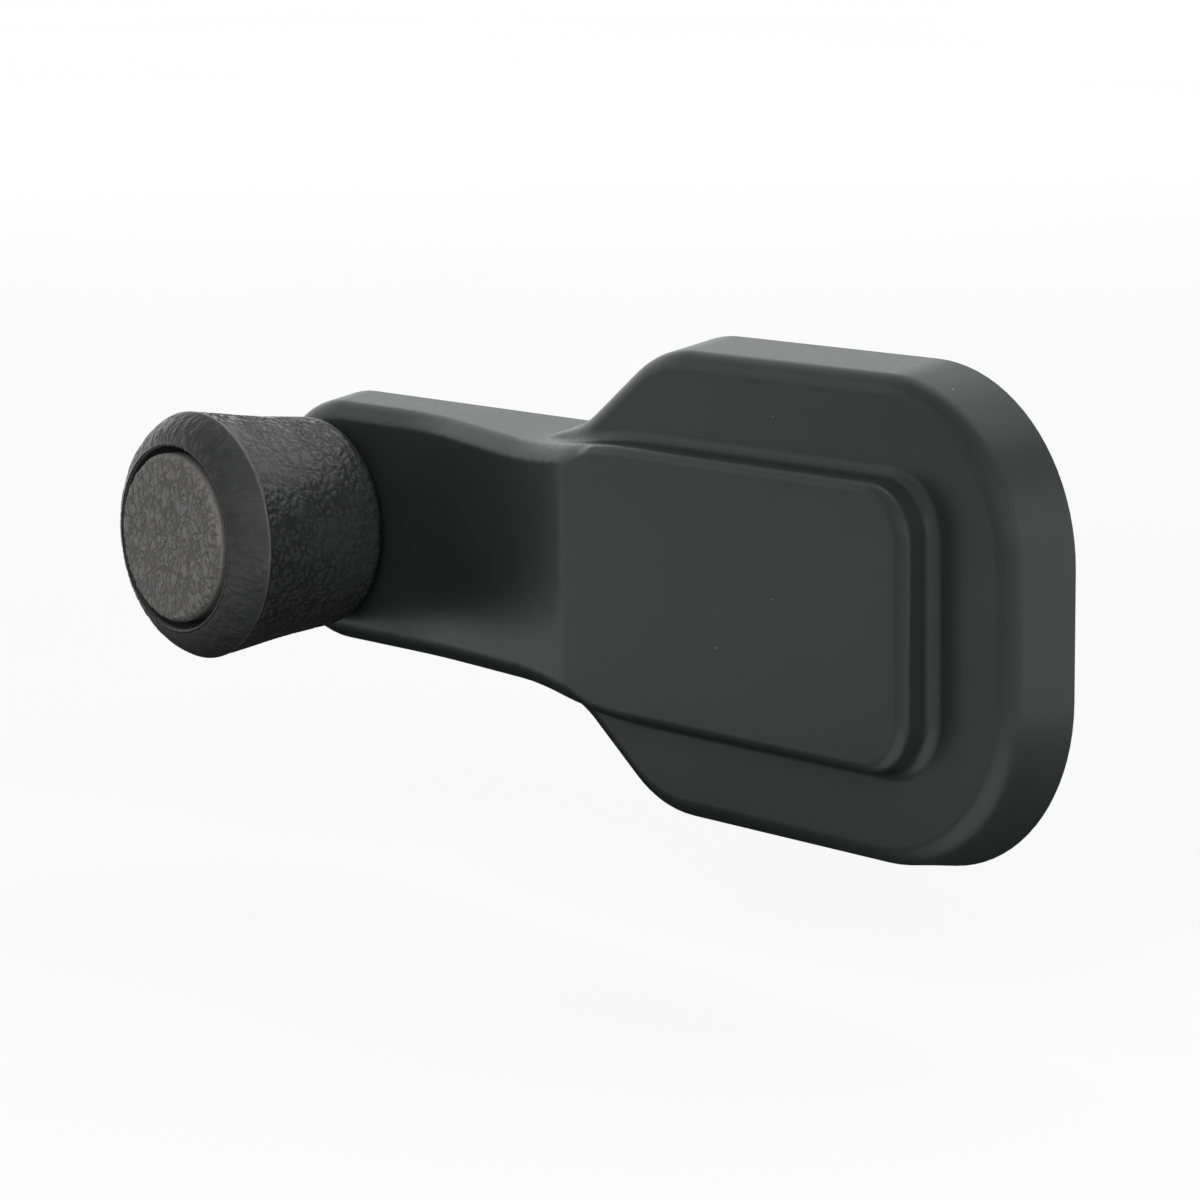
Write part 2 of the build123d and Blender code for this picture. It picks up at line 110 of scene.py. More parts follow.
# Fineness of the knob's meshes, in millimetres along the outline
KNOB_TURN_STEPS = 520
FINE_STEP = 0.17
COARSE_STEP = 1.2
LEAST_ARC_STEPS = 4
ON_AXIS_R = 0.0001

# Where the grain fades out on the knob, in millimetres, and how it lies on the ring and the cap
GRAIN_LAND = 0.05
SIDE_RIM_FADE = 0.5
SIDE_BASE_FADE = 1.0
RING_RIM_FADE = 0.6
RING_MOUTH_FADE = 0.8
RING_GRAIN_SHARE = 0.6
RING_LAY_SHARE = 0.5
CAP_LAY_SHARE = 0.6
CAP_FADE_SHARE = 0.5
CAP_LINE_SHARE = 0.3
LINE_HALF_WIDTH = 0.3 * FINE_STEP

# Leather grain of the grip and of the cap, in metres
GRIP_GRAIN = {
    "Wrinkle Width": 0.0013,
    "Crease Spacing": 0.0021,
    "Depth": 0.00015,
    "Least Share": 0.5,
    "Seed": 0.0,
}
CAP_GRAIN = {
    "Wrinkle Width": 0.001,
    "Crease Spacing": 0.0017,
    "Depth": 0.00016,
    "Least Share": 0.85,
    "Seed": 0.4,
}
NOISE_MIDDLE = 0.5
WRINKLE_LINE = 0.08
CREASE_LINE = 0.09
PATCH_SCALE_SHARE = 0.22
PATCH_LOW = 0.36
PATCH_HIGH = 0.58

# Leather-grained plastic, painted darker in the wrinkles as shade; roughness in the wrinkles, then on the
# ridges
GRIP_VALLEY_SHADE = (0.018, 0.018, 0.018)
GRIP_RIDGE = (0.036, 0.0365, 0.0365)
GRIP_ROUGH = (0.42, 0.27)
CAP_VALLEY_SHADE = (0.085, 0.083, 0.081)
CAP_RIDGE = (0.150, 0.147, 0.145)
CAP_ROUGH = (0.50, 0.36)
# The mould's parting line, painted lighter than the grip as a painted highlight along the sharp rim, broken
# into flecks
PARTING_LINE_AND_HIGHLIGHT_COLOUR = (0.12, 0.12, 0.115)
PARTING_FLECK_SIZE = 0.0012
PARTING_FLECK_SHARE = (0.3, 1.0)
PORE_SIZE = 0.00014
PORE_DEPTH = 0.000014

# Satin plastic of the cover, and the dust on it
COVER_DARK = (0.0195, 0.0220, 0.0210)
COVER_LIGHT = (0.0235, 0.0265, 0.0250)
COVER_CLOUD_SIZE = 0.014
COVER_ROUGH = (0.29, 0.33)
COVER_ROUGH_SIZE = 0.0006
COVER_GLOSS_TINT = (0.82, 1.0, 0.93, 1.0)
COVER_GRAIN_SIZE = 0.0001
COVER_GRAIN_DEPTH = 0.000009
DUST_COLOUR = (0.16, 0.16, 0.15)
DUST_SCALE = 210.0
DUST_SIZE = 0.045
DUST_LEAST_CHANCE = 0.80

# Shading of the cover: points this close are one, and wider angles stay sharp
MERGE_DISTANCE = 0.000002
COVER_CREASE_ANGLE = radians(34)

# Dipped steel of the lever
LEVER_DARK = (0.030, 0.030, 0.033)
LEVER_LIGHT = (0.075, 0.075, 0.080)
LEVER_PATCH_SIZE = 0.006
LEVER_ROUGH = (0.34, 0.55)
LEVER_METALLIC = 0.4
LEVER_GRAIN_SIZE = 0.0005
LEVER_GRAIN_DEPTH = 0.00002

# Turned steel of the hub and the spindle
STEEL_DARK = (0.40, 0.39, 0.38)
STEEL_LIGHT = (0.56, 0.56, 0.55)
STEEL_STAIN_SIZE = 0.003
STEEL_ROUGH = (0.26, 0.40)
LATHE_RINGS = {"Scale": 900.0, "Distortion": 1.2, "Detail": 2.0, "Detail Scale": 2.0}
LATHE_RING_DEPTH = 0.000008

# Zinc plate of the screw, the clip and the steel washers
ZINC_YELLOW = (0.52, 0.47, 0.36)
ZINC_GREY = (0.62, 0.61, 0.58)
ZINC_CLOUD_SIZE = 0.0025
ZINC_ROUGH = (0.28, 0.42)
ZINC_GRAIN_SIZE = 0.0003
ZINC_GRAIN_DEPTH = 0.00001

# Natural nylon of the bush and the thrust washer
NYLON_DARK = (0.66, 0.63, 0.56)
NYLON_LIGHT = (0.76, 0.74, 0.68)
NYLON_MOTTLE_SIZE = 0.002
NYLON_ROUGH = (0.38, 0.50)
NYLON_SUBSURFACE = 0.15
NYLON_SUBSURFACE_RADIUS = (0.002, 0.0018, 0.0014)
NYLON_GRAIN_SIZE = 0.0004
NYLON_GRAIN_DEPTH = 0.00001

# Floor, below the lowest edge of the base; the lift makes it white for the camera
FLOOR_DROP = 0.018
FLOOR_SIZE = 12.0
FLOOR_SHADE_LOW = (0.16, 0.16, 0.16)
FLOOR_SHADE_HIGH = (0.18, 0.18, 0.18)
FLOOR_CLOUD_SIZE = 0.4
FLOOR_NEAR_LIFT = 0.81
FLOOR_FAR_LIFT = 0.91
FLOOR_NEAR = 0.3
FLOOR_FAR = 1.5
FLOOR_UNSEEN_SHARE = 0.25

# The floor as the handle mirrors it: a painted shadow close behind, pale further off, and a glowing white
# patch under the lower corner that paints a highlight on the lower edges
DARK_CENTRE = (-0.09, 0.06)
DARK_STRETCH = 1.3
DARK_RADIUS = 0.07
PALE_RADIUS = 0.24
PALE_FRONT = 0.20
PALE_FRONT_REACH = -0.32
PALE_BACK = 1.05
PALE_BACK_REACH = 0.02
GLOW_PATCH_CENTRE = (0.035, -0.05)
GLOW_PATCH_RADIUS = 0.03
GLOW_PATCH_FADE_RADIUS = 0.06
GLOW_PATCH_LEVEL = 1.0

# Room light: bright low down behind the handle, dimmer on the camera's side and overhead
ROOM_BACK = 1.15
ROOM_FRONT = 0.30
ROOM_BACK_REACH = 0.33
ROOM_FRONT_REACH = -0.9
ROOM_DEPTH_WAY = (-0.35, 0.94, 0.0)
ROOM_LOW = 0.40
ROOM_HIGH = 0.62
ROOM_OVERHEAD_SHARE = 0.45
WHITE = (1.0, 1.0, 1.0, 1.0)

# Soft lamps: one overhead, and two fills on the camera's side
LAMP_AIM = (-0.03, 0.0, 0.0)
OVERHEAD_PLACE = (-0.10, 0.45, 0.80)
OVERHEAD_SIZE = 0.9
OVERHEAD_POWER = 1.5
FRONT_PLACE = (0.60, -0.80, 0.45)
FRONT_SIZE = 0.8
FRONT_POWER = 7.0
RIGHT_PLACE = (0.95, -0.25, 0.30)
RIGHT_AIM = (0.0, 0.0, 0.0)
RIGHT_SIZE = 0.6
RIGHT_POWER = 4.0


# Node helpers

def add_node(tree, kind, inputs=None, **settings):
    """One node with its settings and the values of its inputs."""
    node = tree.nodes.new(kind)
    for name, value in settings.items():
        setattr(node, name, value)
    for name, value in (inputs or {}).items():
        node.inputs[name].default_value = value
    return node


def link(tree, source, target):
    """Joins an output to an input."""
    tree.links.new(source, target)


def empty_tree(holder):
    """Cleared node tree of a material or a world."""
    holder.use_nodes = True
    holder.node_tree.nodes.clear()
    return holder.node_tree


def new_finish(name):
    """Node material with its shader, and the object's own coordinates."""
    finish = bpy.data.materials.new(name)
    tree = empty_tree(finish)
    output = add_node(tree, "ShaderNodeOutputMaterial")
    shader = add_node(tree, "ShaderNodeBsdfPrincipled")
    link(tree, shader.outputs["BSDF"], output.inputs["Surface"])
    place = add_node(tree, "ShaderNodeTexCoord").outputs["Object"]
    return finish, tree, shader, place


def noise(tree, place, size, detail=2.0, roughness=0.5):
    """Noise whose patches are about as wide as the given size in metres."""
    inputs = {"Scale": 1.0 / size, "Detail": detail, "Roughness": roughness}
    texture = add_node(tree, "ShaderNodeTexNoise", inputs)
    link(tree, place, texture.inputs["Vector"])
    return texture.outputs["Fac"]


def blend_colours(tree, factor, low, high, start=0.3, stop=0.7):
    """Colour ramp between two colours."""
    ramp = add_node(tree, "ShaderNodeValToRGB")
    ramp.color_ramp.elements[0].position = start
    ramp.color_ramp.elements[0].color = (*low, 1.0)
    ramp.color_ramp.elements[1].position = stop
    ramp.color_ramp.elements[1].color = (*high, 1.0)
    link(tree, factor, ramp.inputs["Fac"])
    return ramp.outputs["Color"]


def lay_over(tree, factor, under, colour):
    """Lays a colour over another where the factor is 1."""
    factor_socket, under_socket, over_socket, result_socket = 0, 6, 7, 2
    mix = add_node(tree, "ShaderNodeMix", data_type="RGBA")
    mix.inputs[over_socket].default_value = (*colour, 1.0)
    link(tree, factor, mix.inputs[factor_socket])
    link(tree, under, mix.inputs[under_socket])
    return mix.outputs[result_socket]


def spread(tree, factor, low, high, start=0.3, stop=0.7, smooth=False):
    """Maps a factor to a range of values."""
    inputs = {"From Min": start, "From Max": stop, "To Min": low, "To Max": high}
    way = "SMOOTHSTEP" if smooth else "LINEAR"
    span = add_node(tree, "ShaderNodeMapRange", inputs, interpolation_type=way)
    link(tree, factor, span.inputs["Value"])
    return span.outputs["Result"]


def combine(tree, operation, *factors):
    """Joins factors, each an output or a plain number, by a sum, product or other operation."""
    node = add_node(tree, "ShaderNodeMath", operation=operation)
    for socket, factor in zip(node.inputs, factors):
        if isinstance(factor, float):
            socket.default_value = factor
        else:
            link(tree, factor, socket)
    return node.outputs["Value"]


def combine_vectors(tree, operation, first, second):
    """Adds or subtracts two vectors, or scales a vector by a factor."""
    node = add_node(tree, "ShaderNodeVectorMath", operation=operation)
    link(tree, first, node.inputs[0])
    target = node.inputs["Scale"] if operation == "SCALE" else node.inputs[1]
    if isinstance(second, tuple):
        target.default_value = second
    else:
        link(tree, second, target)
    return node.outputs["Vector"]


def reach_along(tree, place, way):
    """How far a place lies along a direction."""
    node = add_node(tree, "ShaderNodeVectorMath", operation="DOT_PRODUCT")
    node.inputs[1].default_value = way
    link(tree, place, node.inputs[0])
    return node.outputs["Value"]


def raise_surface(tree, shader, height, depth, strength):
    """Bump from a height, as deep as the given metres."""
    bump = add_node(tree, "ShaderNodeBump", {"Strength": strength, "Distance": depth})
    link(tree, height, bump.inputs["Height"])
    link(tree, bump.outputs["Normal"], shader.inputs["Normal"])


# Finishes

def dust_specks(tree, place):
    """1 on a few round specks of uneven size, 0 elsewhere."""
    specks = add_node(tree, "ShaderNodeTexVoronoi", {"Scale": DUST_SCALE, "Randomness": 1.0})
    link(tree, place, specks.inputs["Vector"])
    chance = add_node(tree, "ShaderNodeSeparateColor")
    link(tree, specks.outputs["Color"], chance.inputs["Color"])
    limit = spread(tree, chance.outputs["Red"], 0.0, DUST_SIZE, DUST_LEAST_CHANCE, 1.0)
    return combine(tree, "LESS_THAN", specks.outputs["Distance"], limit)


def satin_cover_plastic():
    """Dark moulded plastic with a fine spark-eroded grain and a few specks of dust."""
    finish, tree, shader, place = new_finish("satin_cover_plastic")
    clouds = noise(tree, place, COVER_CLOUD_SIZE, detail=3.0)
    tint = blend_colours(tree, clouds, COVER_DARK, COVER_LIGHT)
    dusty = lay_over(tree, dust_specks(tree, place), tint, DUST_COLOUR)
    link(tree, dusty, shader.inputs["Base Color"])
    rough = noise(tree, place, COVER_ROUGH_SIZE)
    link(tree, spread(tree, rough, *COVER_ROUGH), shader.inputs["Roughness"])
    shader.inputs["Specular Tint"].default_value = COVER_GLOSS_TINT
    grain = noise(tree, place, COVER_GRAIN_SIZE, roughness=0.6)
    raise_surface(tree, shader, grain, COVER_GRAIN_DEPTH, strength=0.55)
    return finish


def leather_grain_plastic(name, valley_shade, ridge, rough):
    """Moulded leather grain: the pressed-in wrinkles are duller than the ridges, and painted darker as
    shade.
    """
    finish, tree, shader, place = new_finish(name)
    height = add_node(tree, "ShaderNodeAttribute", attribute_name="grain").outputs["Fac"]
    # the wrinkles' darker colour is painted shade; the ridges keep the plastic's own tone
    grain_shade_colour = blend_colours(tree, height, valley_shade, ridge, start=0.1, stop=0.9)
    # parting line painted lighter in flecks: a painted highlight along the rim's edge
    line = add_node(tree, "ShaderNodeAttribute", attribute_name="parting_line").outputs["Fac"]
    line_flecks = spread(tree, noise(tree, place, PARTING_FLECK_SIZE), *PARTING_FLECK_SHARE)
    flecked_line = combine(tree, "MULTIPLY", line, line_flecks)
    lined = lay_over(tree, flecked_line, grain_shade_colour, PARTING_LINE_AND_HIGHLIGHT_COLOUR)
    link(tree, lined, shader.inputs["Base Color"])
    link(tree, spread(tree, height, *rough, start=0.0, stop=1.0), shader.inputs["Roughness"])
    pores = noise(tree, place, PORE_SIZE, roughness=0.6)
    raise_surface(tree, shader, pores, PORE_DEPTH, strength=0.6)
    return finish


def dipped_steel():
    """Pressed steel with a thin dark dip, rubbed in places."""
    finish, tree, shader, place = new_finish("dipped_steel")
    patches = noise(tree, place, LEVER_PATCH_SIZE, detail=4.0, roughness=0.6)
    link(tree, blend_colours(tree, patches, LEVER_DARK, LEVER_LIGHT), shader.inputs["Base Color"])
    link(tree, spread(tree, patches, *LEVER_ROUGH), shader.inputs["Roughness"])
    shader.inputs["Metallic"].default_value = LEVER_METALLIC
    grain = noise(tree, place, LEVER_GRAIN_SIZE, detail=3.0)
    raise_surface(tree, shader, grain, LEVER_GRAIN_DEPTH, strength=0.5)
    return finish


def turned_steel(name, centre_x):
    """Bright steel with fine rings from the lathe about the piece's own axis."""
    finish, tree, shader, place = new_finish(name)
    centre = add_node(tree, "ShaderNodeMapping", {"Location": (-centre_x, 0.0, 0.0)})
    link(tree, place, centre.inputs["Vector"])
    wave = add_node(tree, "ShaderNodeTexWave", LATHE_RINGS, wave_type="RINGS", rings_direction="Y")
    link(tree, centre.outputs["Vector"], wave.inputs["Vector"])
    rings = wave.outputs["Fac"]
    stain = noise(tree, place, STEEL_STAIN_SIZE, detail=3.0)
    link(tree, blend_colours(tree, stain, STEEL_DARK, STEEL_LIGHT), shader.inputs["Base Color"])
    link(tree, spread(tree, rings, *STEEL_ROUGH, start=0.0, stop=1.0), shader.inputs["Roughness"])
    shader.inputs["Metallic"].default_value = 1.0
    raise_surface(tree, shader, rings, LATHE_RING_DEPTH, strength=0.5)
    return finish


def zinc_plate():
    """Zinc plating with a faint yellow passivation in clouds."""
    finish, tree, shader, place = new_finish("zinc_plate")
    clouds = noise(tree, place, ZINC_CLOUD_SIZE, detail=4.0, roughness=0.6)
    link(tree, blend_colours(tree, clouds, ZINC_YELLOW, ZINC_GREY), shader.inputs["Base Color"])
    link(tree, spread(tree, clouds, *ZINC_ROUGH), shader.inputs["Roughness"])
    shader.inputs["Metallic"].default_value = 1.0
    grain = noise(tree, place, ZINC_GRAIN_SIZE)
    raise_surface(tree, shader, grain, ZINC_GRAIN_DEPTH, strength=0.4)
    return finish


def natural_nylon():
    """Uncoloured bearing plastic, slightly waxy and mottled."""
    finish, tree, shader, place = new_finish("natural_nylon")
    mottle = noise(tree, place, NYLON_MOTTLE_SIZE, detail=3.0)
    link(tree, blend_colours(tree, mottle, NYLON_DARK, NYLON_LIGHT), shader.inputs["Base Color"])
    link(tree, spread(tree, mottle, *NYLON_ROUGH), shader.inputs["Roughness"])
    shader.inputs["Subsurface Weight"].default_value = NYLON_SUBSURFACE
    shader.inputs["Subsurface Radius"].default_value = NYLON_SUBSURFACE_RADIUS
    grain = noise(tree, place, NYLON_GRAIN_SIZE)
    raise_surface(tree, shader, grain, NYLON_GRAIN_DEPTH, strength=0.4)
    return finish


# Turned pieces of the knob

def round_corner(point, before, after, corner):
    """Points of the arc that rounds a corner between the directions to its two neighbours."""
    half = before.angle(after) / 2
    reach = corner / tan(half)
    enter = point + before * reach
    leave = point + after * reach
    centre = point + (before + after).normalized() * (corner / sin(half))
    first = enter - centre
    turn = first.angle_signed(leave - centre)
    arc_steps = max(LEAST_ARC_STEPS, round(abs(turn) * corner / FINE_STEP))
    arc = []
    for step in range(arc_steps + 1):
        angle = -turn * step / arc_steps
        arc.append(centre + Matrix.Rotation(angle, 2) @ first)
    return arc, enter, leave


def rounded_outline(corners, steps):
    """Closed outline from (radius, height, corner radius) points; steps gives the spacing of each run."""
    points = [Vector(corner[:2]) for corner in corners]
    count = len(points)
    arcs = []
    for index, point in enumerate(points):
        corner = corners[index][2]
        if corner == 0:
            arcs.append(([point], point, point))
            continue
        before = (points[index - 1] - point).normalized()
        after = (points[(index + 1) % count] - point).normalized()
        arcs.append(round_corner(point, before, after, corner))
    outline = []
    for index, (arc, enter, leave) in enumerate(arcs):
        outline += arc
        run = arcs[(index + 1) % count][1] - leave
        pieces = max(1, round(run.length / steps[index]))
        outline += [leave + run * (step / pieces) for step in range(1, pieces)]
    return outline


def turn_about_knob_axis(name, outline):
    """Mesh turned from a closed outline about the knob's axis, one ring of points for each outline point."""
    mesh = bpy.data.meshes.new(name)
    shape = bmesh.new()
    rings = []
    for radius, height in outline:
        if radius < ON_AXIS_R:
            rings.append([shape.verts.new((-CRANK_RADIUS * MM, -height * MM, 0.0))])
            continue
        ring = []
        for step in range(KNOB_TURN_STEPS):
            angle = 2 * pi * step / KNOB_TURN_STEPS
            x = radius * cos(angle) - CRANK_RADIUS
            ring.append(shape.verts.new((x * MM, -height * MM, radius * sin(angle) * MM)))
        rings.append(ring)
    for low, high in zip(rings, rings[1:] + rings[:1]):
        for step in range(KNOB_TURN_STEPS):
            corners = [low[step % len(low)], low[(step + 1) % len(low)]]
            corners += [high[(step + 1) % len(high)], high[step % len(high)]]
            unique = list(dict.fromkeys(corners))
            if len(unique) > 2:
                shape.faces.new(unique)
    bmesh.ops.recalc_face_normals(shape, faces=shape.faces)
    shape.to_mesh(mesh)
    shape.free()
    mesh.shade_smooth()
    piece = bpy.data.objects.new(name, mesh)
    bpy.context.scene.collection.objects.link(piece)
    return piece


def knob_place(point):
    """Radius, height and angle of a point about the knob's axis, in millimetres."""
    x = point.x / MM + CRANK_RADIUS
    z = point.z / MM
    return (x * x + z * z) ** 0.5, -point.y / MM, atan2(z, x)


def fade(value, start, stop):
    """Smooth step from 0 to 1."""
    share = min(1.0, max(0.0, (value - start) / (stop - start)))
    return share * share * (3 - 2 * share)


def mark_grain(piece, depth_at, lay_at, line_z):
    """Stores on each point the grain's depth, its place in the pattern, and the mould's parting line."""
    marks = piece.data.attributes
    for name, kind in (("grain_depth", "FLOAT"), ("grain_lay", "FLOAT_VECTOR"), ("parting_line", "FLOAT")):
        marks.new(name, kind, "POINT")
    depth = marks["grain_depth"]
    lay = marks["grain_lay"]
    line = marks["parting_line"]
    for index, vertex in enumerate(piece.data.vertices):
        radius, height, angle = knob_place(vertex.co)
        depth.data[index].value = depth_at(radius, height)
        lay.data[index].vector = lay_at(radius, height, angle)
        line.data[index].value = 1.0 if abs(height - line_z) < LINE_HALF_WIDTH else 0.0


# Leather grain by Geometry Nodes

def wrinkle_ridges(tree, place, width):
    """0 along thin lines that wander over the surface, 1 on the ridges between them."""
    inputs = {"Detail": 1.5, "Roughness": 0.45, "Distortion": 1.1}
    wrinkle = add_node(tree, "ShaderNodeTexNoise", inputs)
    link(tree, place, wrinkle.inputs["Vector"])
    link(tree, combine(tree, "DIVIDE", 1.0, width), wrinkle.inputs["Scale"])
    from_middle = combine(tree, "SUBTRACT", wrinkle.outputs["Fac"], NOISE_MIDDLE)
    from_line = combine(tree, "ABSOLUTE", from_middle)
    return spread(tree, from_line, 0.0, 1.0, 0.0, WRINKLE_LINE, smooth=True)


def crease_cells(tree, place, spacing, scale):
    """0 along long bent creases, 1 on the cells between them."""
    wander = add_node(tree, "ShaderNodeTexNoise", {"Detail": 2.0})
    link(tree, place, wander.inputs["Vector"])
    link(tree, scale, wander.inputs["Scale"])
    off = combine_vectors(tree, "SUBTRACT", wander.outputs["Color"], (NOISE_MIDDLE,) * 3)
    off = combine_vectors(tree, "SCALE", off, spacing)
    bent = combine_vectors(tree, "ADD", place, off)
    cells = add_node(tree, "ShaderNodeTexVoronoi", feature="DISTANCE_TO_EDGE")
    link(tree, bent, cells.inputs["Vector"])
    link(tree, scale, cells.inputs["Scale"])
    return spread(tree, cells.outputs["Distance"], 0.0, 1.0, 0.0, CREASE_LINE, smooth=True)


def smoother_patches(tree, place, scale, least_share):
    """Share of the grain's depth, down to the least share in wide patches."""
    patch = add_node(tree, "ShaderNodeTexNoise", {"Detail": 1.0})
    link(tree, place, patch.inputs["Vector"])
    link(tree, combine(tree, "MULTIPLY", scale, PATCH_SCALE_SHARE), patch.inputs["Scale"])
    inputs = {"From Min": PATCH_LOW, "From Max": PATCH_HIGH, "To Max": 1.0}
    share = add_node(tree, "ShaderNodeMapRange", inputs)
    link(tree, patch.outputs["Fac"], share.inputs["Value"])
    link(tree, least_share, share.inputs["To Min"])
    return share.outputs["Result"]


def leather_grain_tree():
    """Presses a leather grain into a surface: wandering wrinkles, long creases and smoother patches."""
    tree = bpy.data.node_groups.new("leather_grain", "GeometryNodeTree")
    face = tree.interface
    face.new_socket("Geometry", in_out="INPUT", socket_type="NodeSocketGeometry")
    for name in GRIP_GRAIN:
        face.new_socket(name, in_out="INPUT", socket_type="NodeSocketFloat")
    face.new_socket("Finish", in_out="INPUT", socket_type="NodeSocketMaterial")
    face.new_socket("Geometry", in_out="OUTPUT", socket_type="NodeSocketGeometry")
    inlet = tree.nodes.new("NodeGroupInput").outputs
    outlet = tree.nodes.new("NodeGroupOutput").inputs

    named = "GeometryNodeInputNamedAttribute"
    lay = add_node(tree, named, {"Name": "grain_lay"}, data_type="FLOAT_VECTOR")
    deep = add_node(tree, named, {"Name": "grain_depth"}, data_type="FLOAT")
    shift = add_node(tree, "ShaderNodeCombineXYZ")
    link(tree, inlet["Seed"], shift.inputs["X"])
    place = combine_vectors(tree, "ADD", lay.outputs["Attribute"], shift.outputs["Vector"])

    scale = combine(tree, "DIVIDE", 1.0, inlet["Crease Spacing"])
    ridges = wrinkle_ridges(tree, place, inlet["Wrinkle Width"])
    cells = crease_cells(tree, place, inlet["Crease Spacing"], scale)
    share = smoother_patches(tree, place, scale, inlet["Least Share"])
    pressed = combine(tree, "SUBTRACT", 1.0, combine(tree, "MULTIPLY", ridges, cells))
    pressed = combine(tree, "MULTIPLY", pressed, share)
    pressed = combine(tree, "MULTIPLY", pressed, deep.outputs["Attribute"])
    height = combine(tree, "SUBTRACT", 1.0, pressed)
    drop = combine(tree, "MULTIPLY", pressed, inlet["Depth"])
    normal = tree.nodes.new("GeometryNodeInputNormal").outputs["Normal"]
    inward = combine_vectors(tree, "SCALE", normal, combine(tree, "MULTIPLY", drop, -1.0))

    move = tree.nodes.new("GeometryNodeSetPosition")
    link(tree, inlet["Geometry"], move.inputs["Geometry"])
    link(tree, inward, move.inputs["Offset"])
    kept = "GeometryNodeStoreNamedAttribute"
    store = add_node(tree, kept, {"Name": "grain"}, data_type="FLOAT", domain="POINT")
    link(tree, move.outputs["Geometry"], store.inputs["Geometry"])
    link(tree, height, store.inputs["Value"])
    real = tree.nodes.new("GeometryNodeRealizeInstances")
    link(tree, store.outputs["Geometry"], real.inputs["Geometry"])
    coat = tree.nodes.new("GeometryNodeSetMaterial")
    link(tree, real.outputs["Geometry"], coat.inputs["Geometry"])
    link(tree, inlet["Finish"], coat.inputs["Material"])
    link(tree, coat.outputs["Geometry"], outlet["Geometry"])
    return tree


def press_grain(piece, tree, sizes, finish):
    """Runs the leather grain over a piece and keeps the result as its plain mesh."""
    modifier = piece.modifiers.new("leather_grain", "NODES")
    modifier.node_group = tree
    values = dict(sizes, Finish=finish)
    for item in tree.interface.items_tree:
        if item.in_out == "INPUT" and item.name in values:
            modifier[item.identifier] = values[item.name]
    graph = bpy.context.evaluated_depsgraph_get()
    pressed = bpy.data.meshes.new_from_object(piece.evaluated_get(graph), depsgraph=graph)
    piece.modifiers.remove(modifier)
    piece.data = pressed
    return piece


# Knob

def make_knob_grip(tree, finish):
    """Flared grip with leather grain on its side, and a shallower grain on the ring around the cap."""
    flare = (KNOB_BASE_R + KNOB_RIM_R) / 2 - KNOB_FLARE_SAG
    ring_r = (KNOB_RIM_R + KNOB_MOUTH_R) / 2 + KNOB_RING_BULGE
    ring_z = (KNOB_RIM_Z + KNOB_MOUTH_Z) / 2 + KNOB_RING_BULGE
    corners = [
        (BORE_R, RECESS_Z, 0),
        (RECESS_R, RECESS_Z, 0),
        (RECESS_R, KNOB_BASE_Z, RECESS_EDGE_R),
        (KNOB_BASE_R, KNOB_BASE_Z, KNOB_BASE_EDGE_R),
        (flare, (KNOB_BASE_Z + KNOB_RIM_Z) / 2, KNOB_FLARE_R),
        (KNOB_RIM_R, KNOB_RIM_Z, 0),
        (ring_r, ring_z, KNOB_RING_R),
        (KNOB_MOUTH_R, KNOB_MOUTH_Z, KNOB_MOUTH_EDGE_R),
        (KNOB_MOUTH_R, CAP_SEAT_Z, 0),
        (POCKET_R, CAP_SEAT_Z, 0),
        (POCKET_R, POCKET_Z, 0),
        (BORE_R, POCKET_Z, 0),
    ]
    steps = [COARSE_STEP] * 3 + [FINE_STEP] * 4 + [COARSE_STEP] * 5
    grip = turn_about_knob_axis("leather_knob_grip", rounded_outline(corners, steps))

    def depth_at(radius, height):
        if radius < KNOB_MOUTH_R + GRAIN_LAND or height < KNOB_BASE_Z + GRAIN_LAND:
            return 0.0
        from_rim = abs(height - KNOB_RIM_Z)
        if height > KNOB_RIM_Z:
            share = RING_GRAIN_SHARE * fade(from_rim, GRAIN_LAND, RING_RIM_FADE)
            return share * fade(radius, KNOB_MOUTH_R, KNOB_MOUTH_R + RING_MOUTH_FADE)
        share = fade(from_rim, GRAIN_LAND, SIDE_RIM_FADE)
        return share * fade(height, KNOB_BASE_Z, KNOB_BASE_Z + SIDE_BASE_FADE)

    def lay_at(radius, height, angle):
        if height > KNOB_RIM_Z:
            reach = KNOB_RIM_R + RING_LAY_SHARE * (radius - KNOB_RIM_R)
            return (reach * cos(angle) * MM, RING_LAY_SHARE * height * MM, reach * sin(angle) * MM)
        return (radius * cos(angle) * MM, height * MM, radius * sin(angle) * MM)

    mark_grain(grip, depth_at, lay_at, KNOB_RIM_Z)
    return press_grain(grip, tree, GRIP_GRAIN, finish)


def make_knob_cap(tree, finish):
    """Disc in the front of the grip, with a finer grain that runs up and down."""
    inner = CAP_SKIRT_R - CAP_SKIRT_WALL
    corners = [
        (0, CAP_SEAT_Z, 0),
        (inner, CAP_SEAT_Z, 0),
        (inner, CAP_SKIRT_Z, 0),
        (CAP_SKIRT_R, CAP_SKIRT_Z, 0),
        (CAP_SKIRT_R, CAP_SEAT_Z, 0),
        (CAP_R, CAP_SEAT_Z, 0),
        (CAP_R, CAP_TOP_Z, CAP_EDGE_R),
        (0, CAP_TOP_Z, 0),
    ]
    steps = [COARSE_STEP] * 5 + [FINE_STEP, FINE_STEP, COARSE_STEP]
    cap = turn_about_knob_axis("leather_knob_cap", rounded_outline(corners, steps))

    def depth_at(radius, height):
        return fade(height, CAP_TOP_Z - CAP_EDGE_R, CAP_TOP_Z - CAP_FADE_SHARE * CAP_EDGE_R)

    def lay_at(radius, height, angle):
        return (radius * cos(angle) * MM, height * MM, CAP_LAY_SHARE * radius * sin(angle) * MM)

    mark_grain(cap, depth_at, lay_at, CAP_TOP_Z - CAP_LINE_SHARE * CAP_EDGE_R)
    return press_grain(cap, tree, CAP_GRAIN, finish)


# Pieces that keep their solid's shape

